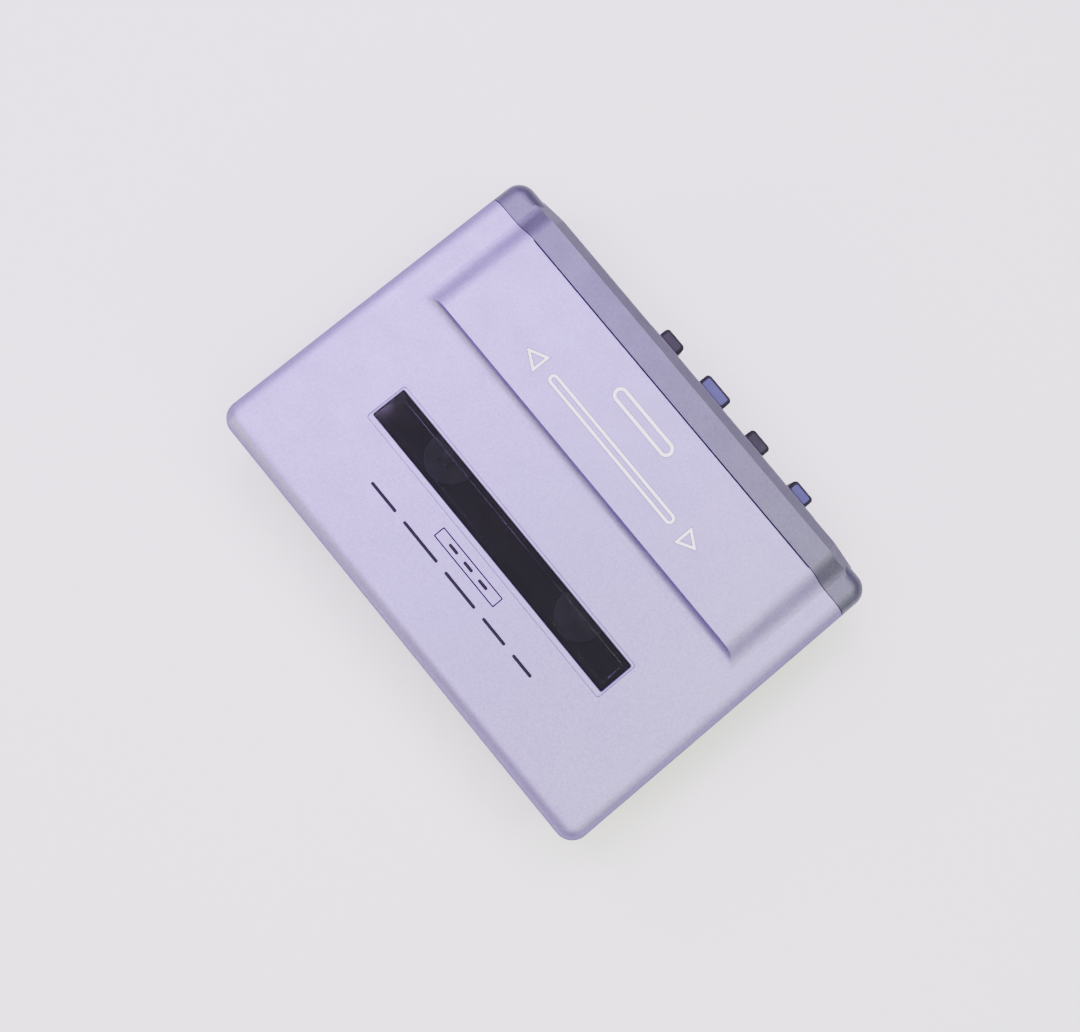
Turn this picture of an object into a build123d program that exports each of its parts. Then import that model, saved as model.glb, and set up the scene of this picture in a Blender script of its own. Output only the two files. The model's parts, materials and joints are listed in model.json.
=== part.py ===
from build123d import *
from math import asin, atan2, cos, degrees, hypot, pi, radians, sin
import os

# Pocket cassette player, lying on its back. Millimetres, +Z out of the lid, +X along the long side,
# +Y towards the keys. The origin is the middle of the back. Every y handed to a helper below is
# counted from the hinge side edge of the case, so that one number says how deep a piece sits.

# Spans that reach past the whole case, for cuts
all_x, all_y, all_z = (-60.0, 60.0), (-5.0, 90.0), (-1.0, 40.0)
fit_gap = 0.2  # between a fixed piece and its opening

# Case
width, depth = 110.0, 78.5
corner = 4.0
wall, floor = 1.6, 1.6
split_z = 18.5  # where lid and strip meet the rear case
gap = 0.3  # lid to its neighbours
low_top, high_top = 27.8, 30.0  # lid's lower plane and the raised panel
top_round, back_round = 3.5, 1.5
inner_x = width / 2 - wall
inner_y = (wall, depth - wall)

# Raised panel over the thick edge of the cassette
panel_y = 48.3
panel_foot_y = 45.3
panel_top_x = (-41.7, 42.6)
panel_ramp = 6.2
panel_hollow_x = (panel_top_x[0] + 0.8, panel_top_x[1] - 0.8)
panel_hollow_y = 49.5
panel_bevel_y = 76.0

# Lid
lid_y = 70.62
strip_y, strip_wall, strip_skin = 70.8, 1.0, 1.4
surround_x, surround_z = (-14.2, 36.3), (19.6, 26.9)
lid_skin, lid_wall, lid_rim, lid_inner_r = 1.2, 1.4, 1.0, 2.4
hinge = (2.2, split_z)
lid_edge_r, cove_r = 2.7, 3.0
latch_x, latch_half = 38.8, 2.0
hook_z = (23.2, 24.0)
latch_y, latch_leaf, latch_bow = 70.5, 0.25, 0.5
pin_r, pin_x = 0.6, (51.1, 54.25)
lug_x, lug_r = (51.3, 53.2), 1.5
window_x, window_y = (-35.1, 35.4), (24.0, 31.8)
window_r, window_bevel = 0.4, 0.15
line_long, line_wide, line_middle_y = 71.5, 9.8, 27.6  # fine line around the window
line_cut, line_deep = 0.2, 0.45
lens_x, lens_y, lens_top = (-34.9, 35.2), (24.2, 31.6), 27.4
lens_rim, lens_pocket = 1.15, 0.15
lens_flange_x, lens_flange_y = (-37.2, 37.5), (22.2, 33.6)

# Plate inside the lid and its two rails that carry the cassette
frame_z = (26.05, 26.55)
rail_y, rail_thick = (21.0, 64.0), 0.9
lip_z, lip_out = (16.4, 17.0), 2.5
leaf_x, leaf_half, leaf_y, leaf_thick = 28.0, 2.5, (36.0, 48.0), 0.2

# Cassette: standard body and thick edge, standing on the deck
bay_x = 0.8  # middle of the cassette
cassette_half = 50.2
cassette_z = (17.2, 25.9)
rest_x, rest_y = 44.8, (25.0, 46.0)  # the pegs it stands on
hub_y = 30.8
hub_gap = 42.5
capstan_y = 60.5
capstan_gap = 46.0

# Batteries: two cells end to end under the cassette
cell_y, cell_z = 9.3, 8.85
contact_x, contact_y, contact_z = (52.95, 53.35), (5.2, 13.4), (3.2, 14.2)
bay_wall_y, bay_roof_z = (18.0, 19.0), (16.2, 16.8)
cove_half, cove_wall = 51.0, 0.8
root = 0.2  # how far an inner wall runs into the outer one
door_hinge = (2.6, 1.25)
door_x, door_y, door_gap = 51.0, 17.0, 0.2
door_pin_r, door_pin_x = 0.7, 52.5
grip_count, grip_pitch = 5, 0.9

# Deck levels
chassis_z = (13.0, 13.8)
deck_z = (13.8, 15.0)
board_z = (2.6, 3.6)
gear_z = (11.3, 12.7)
wheel_z = (8.0, 11.0)
belt_z = 9.5

# Keys, from left to right
key_pitch, key_middle = 13.4, 11.0
key_half, key_gap = 2.75, 0.2
key_flange, key_flange_y = 1.0, (75.9, 76.85)
key_back_y = 76.0
spring_r, spring_wire, spring_long, spring_turns = 1.15, 0.16, 3.6, 4
play_half = 3.7
key_z = (20.9, 25.3)
key_travel = 2.4
key_out = 81.6
key_x = [key_middle + key_pitch * (i - 1.5) for i in range(4)]

motor_at = (-37.0, 33.0)
motor_r = 10.5
flywheel_r = 15.0
groove_r = 14.2
pulley_groove_r, pulley_r, motor_shaft_r = 1.9, 2.6, 0.75
belt_half = 0.35
volume_at = (48.3, 42.0)
volume_r, volume_z, volume_ribs = 8.0, (9.0, 11.0), 60

shoulder_r, deck_post_r, case_post_r = 2.9, 2.0, 1.9
case_screw_r, case_head_r, case_head_z = 0.8, 1.65, 1.3
deck_screw_r, deck_head_r, deck_head_z = 0.65, 1.7, 15.8
slot_long, slot_half = 1.1, 0.2  # cross slot in a screw head
deck_posts = [(-50.5, 21.5), (50.5, 21.5), (-50.5, 69.0), (50.5, 69.0)]
case_posts = [(-50.5, 74.2), (-2.9, 74.2), (50.5, 74.2)]
reel_at = [(bay_x - hub_gap / 2, hub_y), (bay_x + hub_gap / 2, hub_y)]
capstan_at = [(bay_x - capstan_gap / 2, capstan_y), (bay_x + capstan_gap / 2, capstan_y)]
pinch_pivot = [(bay_x - 11.0, 66.7), (bay_x + 11.0, 66.7)]
roller_y = 69.0
roller_r, roller_pin_r = 3.0, 0.6
pinch_z = (16.3, 17.1)
idler_pivot = (bay_x, 45.5)
idler_at = (bay_x, 34.0)
hub_r, hub_fins = 1.9, 6
reel_gear_r, reel_teeth = 10.0, 40
idler_gear_r, idler_teeth = 9.0, 36
arm_z = (10.6, 11.1)
guide_pins = [(bay_x - 15.8, 65.5), (bay_x + 15.8, 65.5)]
plate_z, plate_arm_x, plate_arm_y = (15.05, 15.45), (2.6, 6.0), (75.35, 75.8)
head_half, head_z = 5.5, (17.4, 25.2)
through_z = (10.0, 20.0)  # cuts through the chassis and the deck
reel_shaft_r, reel_table_r = 1.5, 5.6
bush_r, capstan_r = 2.0, 1.0
pivot_r, guide_r = 0.9, 0.8
bracket_z = (6.0, 6.6)
lightening_x = (-30.0, 31.0)
bracket_posts = [(bay_x, capstan_y - 9.0), (bay_x, capstan_y + 9.0)]
jack_y, jack_z, jack_bore_r, jack_collar_r = 28.5, 6.5, 1.8, 3.0
supply_y, supply_z, supply_bore_r, supply_collar_r = 57.5, 6.6, 1.9, 2.7
lamp_x, lamp_z, lamp_r = 44.0, 9.0, 1.0
switch_y = (50.0, 60.0)
noise_x = -42.0
knob_z, knob_slot_z = (4.65, 6.55), (4.4, 6.8)
ridge_count, ridge_pitch, ridge_cut = 3, 0.75, 0.35  # grip grooves across a knob

chips = [(8.0, 30.0, 10.0, 6.0), (26.0, 34.0, 7.0, 7.0), (-8.0, 50.0, 9.0, 5.0)]  # x, y, width, depth
leg_pitch = 1.2
capacitors = [(36.0, 26.0), (36.0, 32.0), (-18.0, 24.5), (-12.0, 24.5), (-2.0, 38.0)]


def y_of(y):
    return y - depth / 2


def block(x, y, z, radius=0.0, mode=Mode.ADD):
    """Upright block between the pairs x, y and z, its upright edges rounded if radius is given."""
    with BuildSketch(Plane.XY.offset(z[0])) as face:
        with Locations(((x[0] + x[1]) / 2, y_of((y[0] + y[1]) / 2))):
            if radius:
                RectangleRounded(x[1] - x[0], y[1] - y[0], radius)
            else:
                Rectangle(x[1] - x[0], y[1] - y[0])
    extrude(face.sketch, amount=z[1] - z[0], dir=(0, 0, 1), mode=mode)


def peg(at, radius, z, mode=Mode.ADD):
    """Upright cylinder at (x, y)."""
    with BuildSketch(Plane.XY.offset(z[0])) as face:
        with Locations((at[0], y_of(at[1]))):
            Circle(radius)
    extrude(face.sketch, amount=z[1] - z[0], dir=(0, 0, 1), mode=mode)


def rod_x(x, at, radius, mode=Mode.ADD):
    """Cylinder along X at (y, z)."""
    with BuildSketch(Plane.YZ.offset(x[0])) as face:
        with Locations((y_of(at[0]), at[1])):
            Circle(radius)
    extrude(face.sketch, amount=x[1] - x[0], dir=(1, 0, 0), mode=mode)


def rod_y(y, at, radius, mode=Mode.ADD):
    """Cylinder along Y at (x, z)."""
    with BuildSketch(Plane.XZ.offset(-y_of(y[0]))) as face:
        with Locations(at):
            Circle(radius)
    extrude(face.sketch, amount=y[1] - y[0], dir=(0, 1, 0), mode=mode)


def profile_x(x, points, mode=Mode.ADD):
    """Polygon of (y, z) points drawn out along X."""
    with BuildSketch(Plane.YZ.offset(x[0])) as face:
        with BuildLine():
            Polyline(*[(y_of(y), z) for y, z in points], close=True)
        make_face()
    extrude(face.sketch, amount=x[1] - x[0], dir=(1, 0, 0), mode=mode)


def sunk(x, y, z, spread, radius):
    """Cut between the heights z, wider by spread all round at the upper one."""
    with BuildSketch(Plane.XY.offset(z[0])) as low:
        with Locations(((x[0] + x[1]) / 2, y_of((y[0] + y[1]) / 2))):
            RectangleRounded(x[1] - x[0], y[1] - y[0], radius)
    with BuildSketch(Plane.XY.offset(z[1])) as high:
        with Locations(((x[0] + x[1]) / 2, y_of((y[0] + y[1]) / 2))):
            RectangleRounded(x[1] - x[0] + 2 * spread, y[1] - y[0] + 2 * spread, radius + spread)
    loft([low.sketch.face(), high.sketch.face()], ruled=True, mode=Mode.SUBTRACT)


def bar(start, end, half, z, mode=Mode.ADD):
    """Flat bar with round ends from one (x, y) to another."""
    dx, dy = end[0] - start[0], end[1] - start[1]
    with BuildSketch(Plane.XY.offset(z[0])) as face:
        with Locations(((start[0] + end[0]) / 2, y_of((start[1] + end[1]) / 2))):
            SlotCenterToCenter(hypot(dx, dy), 2 * half, rotation=degrees(atan2(dy, dx)))
    extrude(face.sketch, amount=z[1] - z[0], dir=(0, 0, 1), mode=mode)


def toothed(at, tip, teeth, z, mode=Mode.ADD):
    """Spur gear blank with straight sided teeth."""
    root = tip - 0.8
    foot = pi * root / teeth * 0.62
    with BuildSketch(Plane.XY.offset(z[0])) as face:
        with Locations((at[0], y_of(at[1]))):
            Circle(root)
            with PolarLocations(root + 0.3, teeth):
                Trapezoid(foot * 1.6, 1.0, 72, rotation=-90)
    extrude(face.sketch, amount=z[1] - z[0], dir=(0, 0, 1), mode=mode)


def groove_around(at, outer, inner, half):
    """Belt groove of a wheel at (x, y), half its height to either side of the belt."""
    with BuildSketch(Plane.XY.offset(belt_z - half)) as ring:
        with Locations((at[0], y_of(at[1]))):
            Circle(outer)
            Circle(inner, mode=Mode.SUBTRACT)
    extrude(ring.sketch, amount=2 * half, dir=(0, 0, 1), mode=Mode.SUBTRACT)


def coil(start, direction, length, radius, wire, turns):
    """Round wire spring. start is the middle of its first turn, in the part's own frame."""
    with BuildLine() as path:
        Helix(pitch=length / turns, height=length, radius=radius, center=start, direction=direction)
    with BuildSketch(Plane(origin=path.line @ 0, z_dir=path.line % 0)) as section:
        Circle(wire)
    sweep(section.sketch, path=path.line, is_frenet=True)


def cross_slot(at, z):
    """Cross shaped recess of a screw head at (x, y)."""
    for long, wide in ((slot_long, slot_half), (slot_half, slot_long)):
        block((at[0] - long, at[0] + long), (at[1] - wide, at[1] + wide), z, mode=Mode.SUBTRACT)


def save(builder, name):
    builder.part.label = name
    export_step(builder.part, "parts/" + name + ".step")


os.makedirs("parts", exist_ok=True)

# ---------------------------------------------------------------- outer form shared by lid and strip
with BuildPart() as panel_form:
    with BuildSketch(Plane.YZ.offset(-width / 2)) as side:
        with BuildLine():
            foot = (y_of(panel_foot_y), low_top - 0.02)
            edge = (y_of(panel_y), high_top)
            # Hollow below a crisp edge
            Bezier(foot, (y_of(panel_y - 0.7), low_top), (y_of(panel_y - 0.15), low_top + 0.9), edge)
            Polyline(edge, (y_of(depth), high_top), (y_of(depth), 24.0), (foot[0], 24.0), foot)
        make_face()
    extrude(side.sketch, amount=width, dir=(1, 0, 0))
    left, right = panel_top_x
    ramp_foot = low_top - 0.02
    with BuildSketch(Plane.XZ.offset(-y_of(40.0))) as front:
        with BuildLine():
            a = Spline((left - panel_ramp, ramp_foot), (left, high_top), tangents=[(1, 0), (1, 0)])
            b = Line(a @ 1, (right, high_top))
            c = Spline(b @ 1, (right + panel_ramp, ramp_foot), tangents=[(1, 0), (1, 0)])
            Polyline(c @ 1, (right + panel_ramp, 24.0), (left - panel_ramp, 24.0), a @ 0)
        make_face()
    extrude(front.sketch, amount=60.0, dir=(0, 1, 0), mode=Mode.INTERSECT)
    # Bevel along the key side, going down with the ramps at both ends
    bevel_run = [
        (left - panel_ramp, low_top),
        (left, high_top),
        (right, high_top),
        (right + panel_ramp, low_top),
    ]
    for (x0, z0), (x1, z1) in zip(bevel_run, bevel_run[1:]):
        out = depth + 1.0 - panel_bevel_y
        with BuildSketch(Plane.YZ.offset(x0)) as corner_cut:
            with BuildLine():
                Polyline(
                    (y_of(panel_bevel_y), z0),
                    (y_of(panel_bevel_y), z0 + 3.0),
                    (y_of(panel_bevel_y) + out, z0 + 3.0),
                    (y_of(panel_bevel_y) + out, z0 - out),
                    close=True,
                )
            make_face()
        run = hypot(x1 - x0, z1 - z0)
        extrude(corner_cut.sketch, amount=run, dir=(x1 - x0, 0, z1 - z0), mode=Mode.SUBTRACT)

with BuildPart() as top_form:
    block((-width / 2, width / 2), (0, depth), (10.0, low_top), corner)
    fillet(top_form.edges().group_by(Axis.Z)[-1], top_round)
    add(panel_form.part)

# Full round ends of the lid's hinge edge, kept inside the outline
with BuildPart() as hinge_ends:
    block((-width / 2, width / 2), (0, depth), (14.0, 23.0), corner)
    rod_x((-width / 2, width / 2), hinge, lid_edge_r, mode=Mode.INTERSECT)
    block((-lug_x[1] - gap, lug_x[1] + gap), (-3, 8), (10, 25), mode=Mode.SUBTRACT)

# ------------------------------------------------------------------------------------------ lid shell
with BuildPart() as lid_shell:
    add(top_form.part)
    block(all_x, (lid_y, all_y[1]), all_z, mode=Mode.SUBTRACT)
    block(all_x, (lid_wall + 0.1, all_y[1]), (all_z[0], split_z), mode=Mode.SUBTRACT)
    block(all_x, all_y, (all_z[0], split_z - lid_edge_r), mode=Mode.SUBTRACT)
    with BuildSketch(Plane.YZ.offset(all_x[0])) as below_edge:
        with BuildLine():
            Polyline(
                (y_of(-2), split_z),
                (y_of(3), split_z),
                (y_of(3), 10),
                (y_of(-2), 10),
                close=True,
            )
        make_face()
        with Locations((y_of(hinge[0]), hinge[1])):
            Circle(lid_edge_r, mode=Mode.SUBTRACT)
    extrude(below_edge.sketch, amount=all_x[1] - all_x[0], dir=(1, 0, 0), mode=Mode.SUBTRACT)
    cavity_x = (-width / 2 + lid_wall, width / 2 - lid_wall)
    block(cavity_x, (lid_wall + 0.1, all_y[1]), (10, 25.8), lid_inner_r, mode=Mode.SUBTRACT)
    cavity_y = (lid_wall + 0.1, lid_y - lid_rim)
    block(cavity_x, cavity_y, (25, low_top - lid_skin), lid_inner_r, mode=Mode.SUBTRACT)
    hollow_y = (panel_hollow_y, lid_y - lid_rim)
    block(panel_hollow_x, hollow_y, (26, high_top - lid_skin), 1.0, mode=Mode.SUBTRACT)
    add(hinge_ends.part)
    for side in (-1, 1):
        low, high = sorted((side * (lug_x[0] - gap), side * (lug_x[1] + gap)))
        rod_x((low, high), hinge, lug_r + gap, mode=Mode.SUBTRACT)
        block((low, high), (-1, 6), (14, split_z), mode=Mode.SUBTRACT)
        low, high = sorted((side * lug_x[1], side * (pin_x[1] + 0.05)))
        rod_x((low, high), hinge, pin_r + 0.02, mode=Mode.SUBTRACT)
    # Window opening with a bevelled upper edge, and the fine line engraved around it
    block(window_x, window_y, (20, 40), window_r, mode=Mode.SUBTRACT)
    sunk(window_x, window_y, (low_top - window_bevel, low_top), window_bevel, window_r)
    with BuildSketch(Plane.XY.offset(low_top - line_deep)) as line:
        with Locations((sum(window_x) / 2, y_of(line_middle_y))):
            RectangleRounded(line_long, line_wide, 0.7)
            RectangleRounded(line_long - 2 * line_cut, line_wide - 2 * line_cut, 0.5, mode=Mode.SUBTRACT)
    extrude(line.sketch, amount=line_deep, dir=(0, 0, 1), mode=Mode.SUBTRACT)
    # Fine bevel along the free edge of the raised panel
    profile_x(
        panel_top_x,
        [(lid_y - 0.25, high_top + 0.05), (lid_y + 0.1, high_top + 0.05), (lid_y + 0.1, high_top - 0.3)],
        mode=Mode.SUBTRACT,
    )
    # Hooks that snap past the latch springs
    for x in (bay_x - latch_x, bay_x + latch_x):
        block((x - latch_half, x + latch_half), (lid_y - 1.5, lid_y - 0.6), (hook_z[0], 27.0))
        block((x - latch_half, x + latch_half), (lid_y - 1.0, lid_y - 0.2), hook_z)
save(lid_shell, "lid_shell")

with BuildPart() as lid_window:
    block(lens_x, lens_y, (26.5, lens_top), 0.3)
    block(lens_flange_x, lens_flange_y, (25.95, 26.55), 0.6)
    pocket_x = (lens_x[0] + lens_rim, lens_x[1] - lens_rim)
    pocket_y = (lens_y[0] + lens_rim, lens_y[1] - lens_rim)
    sunk(pocket_x, pocket_y, (lens_top - lens_pocket, lens_top), lens_pocket, 0.2)
save(lid_window, "lid_window")

with BuildPart() as lid_inner_frame:
    block((-52.6, 52.6), (1.9, 69.2), frame_z, 1.6)
    block(panel_hollow_x, (panel_hollow_y + 0.2, lid_y - 1.1), (26, 27), mode=Mode.SUBTRACT)
    block((-37.8, 38.1), (21.6, 34.2), (26, 27), mode=Mode.SUBTRACT)
    for side in (-1, 1):
        face = bay_x + side * (cassette_half + 0.3)
        rail = sorted((face, face + side * rail_thick))
        lip = sorted((face + side * 0.3, face - side * lip_out))
        block(rail, rail_y, (lip_z[0], frame_z[0] + 0.25))
        block(lip, rail_y, lip_z)
save(lid_inner_frame, "lid_inner_frame")

with BuildPart() as cassette_springs:
    start, end = y_of(leaf_y[0]), y_of(leaf_y[1])
    for x in (bay_x - leaf_x, bay_x + leaf_x):
        with BuildSketch(Plane.YZ.offset(x - leaf_half)) as leaf:
            with BuildLine():
                top = ThreePointArc((start, 26.0), ((start + end) / 2, 25.2), (end, 26.0))
                Line(top @ 1, (end, 26.0 - leaf_thick))
                middle = ((start + end) / 2, 25.2 - leaf_thick)
                low = ThreePointArc((end, 26.0 - leaf_thick), middle, (start, 26.0 - leaf_thick))
                Line(low @ 1, top @ 0)
            make_face()
        extrude(leaf.sketch, amount=2 * leaf_half, dir=(1, 0, 0))
        tab = (leaf_y[0] - 1.0, leaf_y[0] + 0.3)
        block((x - leaf_half, x + leaf_half), tab, (26.0 - leaf_thick, 26.0))
save(cassette_springs, "cassette_springs")

with BuildPart() as lid_hinge_pins:
    for side in (-1, 1):
        low, high = sorted((side * pin_x[0], side * pin_x[1]))
        rod_x((low, high), hinge, pin_r)
save(lid_hinge_pins, "lid_hinge_pins")

# ------------------------------------------------------------------------------------------ rear case
with BuildPart() as rear_case:
    block((-width / 2, width / 2), (0, depth), (0, split_z), corner)
    fillet(rear_case.edges().group_by(Axis.Z)[0], back_round)
    block((-inner_x, inner_x), inner_y, (floor, 30), corner - wall, mode=Mode.SUBTRACT)
    # Battery tunnel: partition, roof and the hollow that the lid's edge turns in
    block((-inner_x - root, inner_x + root), bay_wall_y, (floor - root, bay_roof_z[1]))
    block((-inner_x - root, inner_x + root), (4.4, bay_wall_y[1]), bay_roof_z)
    with BuildSketch(Plane.YZ.offset(-cove_half)) as cove:
        with Locations((y_of(hinge[0]), hinge[1])):
            Circle(cove_r + cove_wall)
        # Keep what lies inside the case and under the roof
        with Locations((y_of(-10.0), 20.0)):
            Rectangle(20.0, 30.0, mode=Mode.SUBTRACT)
        with Locations((y_of(0.0), bay_roof_z[1] + 15.0)):
            Rectangle(60.0, 30.0, mode=Mode.SUBTRACT)
    extrude(cove.sketch, amount=2 * cove_half, dir=(1, 0, 0))
    for side in (-1, 1):
        low, high = sorted((side * (cove_half - 0.1), side * (inner_x + 0.1)))
        block((low, high), (1.5, 4.6), (10.0, 18.2))
    rod_x(all_x, hinge, cove_r, mode=Mode.SUBTRACT)
    block(all_x, (all_y[0], strip_y - 0.15), (split_z - gap, all_z[1]), mode=Mode.SUBTRACT)
    for side in (-1, 1):
        low, high = sorted((side * lug_x[0], side * lug_x[1]))
        rod_x((low, high), hinge, lug_r)
        block((low, high), (1.9, 3.7), (14.0, split_z))
        rod_x((low, high), hinge, pin_r + 0.05, mode=Mode.SUBTRACT)
    # Battery door opening with its hinge bosses
    opening_x = (-door_x - door_gap, door_x + door_gap)
    block(opening_x, (1.3, door_y + door_gap), (all_z[0], floor + 0.4), mode=Mode.SUBTRACT)
    for side in (-1, 1):
        low, high = sorted((side * (door_x + door_gap), side * (inner_x + 0.1)))
        block((low, high), (1.5, 4.4), (0.6, 3.0))
        pivot_x = sorted((side * door_x, side * (door_pin_x + 0.2)))
        rod_x(pivot_x, door_hinge, door_pin_r + 0.05, mode=Mode.SUBTRACT)
    # Posts for the deck, with a shoulder for the board, and for the case screws
    for at in deck_posts:
        peg(at, shoulder_r, (floor - 0.1, board_z[0]))
        peg(at, deck_post_r, (floor - 0.1, chassis_z[0]))
        peg(at, deck_screw_r + 0.05, (5.0, 20.0), mode=Mode.SUBTRACT)
    for at in case_posts:
        peg(at, case_post_r, (floor - 0.1, split_z))
        peg(at, case_screw_r + fit_gap, (all_z[0], 20), mode=Mode.SUBTRACT)
        peg(at, case_head_r + 0.1, (all_z[0], case_head_z), mode=Mode.SUBTRACT)
    peg(motor_at, motor_r + 1.1, (floor - 0.1, 4.6))
    peg(motor_at, motor_r + 0.15, (floor, 5.0), mode=Mode.SUBTRACT)
    # Openings in the walls: jacks, wheel, switches, lamp
    right_wall = (52.0, all_x[1])
    rod_x(right_wall, (jack_y, jack_z), jack_collar_r + fit_gap, mode=Mode.SUBTRACT)
    rod_x(right_wall, (supply_y, supply_z), supply_collar_r + fit_gap, mode=Mode.SUBTRACT)
    volume_slot_y = (volume_at[1] - 6.6, volume_at[1] + 6.6)
    block(right_wall, volume_slot_y, (volume_z[0] - gap, volume_z[1] + gap), mode=Mode.SUBTRACT)
    for y in switch_y:
        block((all_x[0], -52.0), (y - 3.1, y + 3.1), knob_slot_z, mode=Mode.SUBTRACT)
    block((noise_x - 3.1, noise_x + 3.1), (70.0, all_y[1]), knob_slot_z, mode=Mode.SUBTRACT)
    rod_y((70.0, all_y[1]), (lamp_x, lamp_z), lamp_r + 0.05, mode=Mode.SUBTRACT)
    # Shallow recess for a blank label on the back
    block((-30, 30), (48.0, 66.0), (-1, 0.15), 1.5, mode=Mode.SUBTRACT)
save(rear_case, "rear_case")

with BuildPart() as battery_door:
    block((-door_x, door_x), (door_hinge[0], door_y), (0.15, 1.35))
    rod_x((-door_x, door_x), door_hinge, 1.1)
    for side in (-1, 1):
        rod_x(sorted((side * (door_x - 1), side * door_pin_x)), door_hinge, door_pin_r)
    for i in range(grip_count):
        y = 12.0 + grip_pitch * i
        block((-7, 7), (y, y + 0.4), (0, 0.35), mode=Mode.SUBTRACT)
save(battery_door, "battery_door")

with BuildPart() as battery_contact_left:
    block((-contact_x[1], -contact_x[0]), contact_y, contact_z)
    coil((-52.67, y_of(cell_y), cell_z), (1, 0, 0), 1.8, 2.6, 0.25, 2)
save(battery_contact_left, "battery_contact_left")

with BuildPart() as battery_contact_right:
    block(contact_x, contact_y, contact_z)
    rod_x((51.0, 53.1), (cell_y, cell_z), 2.0)
save(battery_contact_right, "battery_contact_right")

with BuildPart() as case_screws:
    for at in case_posts:
        peg(at, case_head_r, (0.35, case_head_z))
        peg(at, case_screw_r, (case_head_z - 0.1, 23.0))
        cross_slot(at, (0, 0.75))
save(case_screws, "case_screws")

# ------------------------------------------------------------------------------ upper case (the strip)
with BuildPart() as upper_case:
    add(top_form.part)
    block(all_x, (all_y[0], strip_y), all_z, mode=Mode.SUBTRACT)
    block(all_x, all_y, (all_z[0], split_z), mode=Mode.SUBTRACT)
    # Raised surround of the keys
    block(surround_x, (depth - 0.5, depth + 0.25), surround_z, 0.1)
    hollow_y = (strip_y + strip_wall, inner_y[1])
    block((-inner_x, inner_x), hollow_y, (10, low_top - strip_skin), 0.5, mode=Mode.SUBTRACT)
    hollow_y = (strip_y + strip_wall, 75.6)
    block(panel_hollow_x, hollow_y, (26, high_top - strip_skin), 0.5, mode=Mode.SUBTRACT)
    wall_x = (-inner_x + fit_gap, inner_x - fit_gap)
    block(wall_x, (strip_y, strip_y + strip_wall), (15.1, split_z + 1))
    for at in case_posts:
        peg(at, case_post_r, (split_z, 27.0))
        peg(at, case_screw_r + 0.02, (10, 25.0), mode=Mode.SUBTRACT)
    for i, x in enumerate(key_x):
        half = (play_half if i == 1 else key_half) + key_gap
        slot_z = (key_z[0] - key_gap, key_z[1] + key_gap)
        block((x - half, x + half), (75.0, all_y[1]), slot_z, mode=Mode.SUBTRACT)
    # Room in the wall for the pinch rollers and for the head plate's arm
    for x, y in capstan_at:
        block((x - roller_r - 0.7, x + roller_r + 0.7), (70, 72.5), (10, 25.7), mode=Mode.SUBTRACT)
    block((plate_arm_x[0] - 0.4, plate_arm_x[1] + 0.4), (70, 72.5), (10, 16.2), mode=Mode.SUBTRACT)
save(upper_case, "upper_case")

with BuildPart() as lid_latch_springs:
    for x in (bay_x - latch_x, bay_x + latch_x):
        profile_x(
            (x - latch_half, x + latch_half),
            [
                (latch_y, 19.0),
                (latch_y, 24.2),
                (latch_y - latch_bow, 24.9),
                (latch_y, 25.6),
                (latch_y + latch_leaf, 25.6),
                (latch_y + latch_leaf - latch_bow, 24.9),
                (latch_y + latch_leaf, 24.3),
                (latch_y + latch_leaf, 19.0),
            ],
        )
save(lid_latch_springs, "lid_latch_springs")

# ----------------------------------------------------------------------------------------------- keys
key_names = ["rewind", "play", "fast_forward", "stop"]
for i, (x, name) in enumerate(zip(key_x, key_names)):
    half = play_half if name == "play" else key_half
    out = key_out + (0.3 if name == "play" else 0.0)
    with BuildPart() as key:
        block((x - half, x + half), (key_back_y, out), key_z)
        face = key.faces().sort_by(Axis.Y)[-1]
        fillet(face.edges().filter_by(Axis.Z), 0.9)
        chamfer(key.faces().sort_by(Axis.Y)[-1].edges(), 0.35)
        flange_x = (x - half - key_flange, x + half + key_flange)
        block(flange_x, key_flange_y, (key_z[0] - 0.8, key_z[1] + 0.8))
        rod_y((74.9, key_back_y), (x, sum(key_z) / 2), 0.75)
    save(key, name + "_key")
    with BuildPart() as spring:
        start = (x, y_of(72.05), sum(key_z) / 2)
        coil(start, (0, 1, 0), spring_long, spring_r, spring_wire, spring_turns)
    save(spring, name + "_spring")

# ---------------------------------------------------------------------------------- chassis and deck
with BuildPart() as chassis_plate:
    block((-inner_x + 0.3, inner_x - 0.3), (bay_wall_y[1] + 0.3, 71.4), chassis_z, 2.0)
    for at in deck_posts:
        peg(at, 1.0, through_z, mode=Mode.SUBTRACT)
    for at in reel_at:
        peg(at, reel_shaft_r + 0.05, through_z, mode=Mode.SUBTRACT)
    for at in capstan_at:
        peg(at, bush_r, through_z, mode=Mode.SUBTRACT)
    for at in pinch_pivot:
        peg(at, pivot_r, (chassis_z[0], 17.7))
    for at in guide_pins:
        peg(at, guide_r, (chassis_z[0], 16.0))
    for at in bracket_posts:
        peg(at, 1.4, (bracket_z[1], chassis_z[0] + 0.1))
    peg(idler_pivot, pivot_r, (10.4, chassis_z[0] + 0.1))
    for x in lightening_x:
        block((x - 5, x + 5), (24.0, 30.0), through_z, 1.0, mode=Mode.SUBTRACT)
save(chassis_plate, "chassis_plate")

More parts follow.
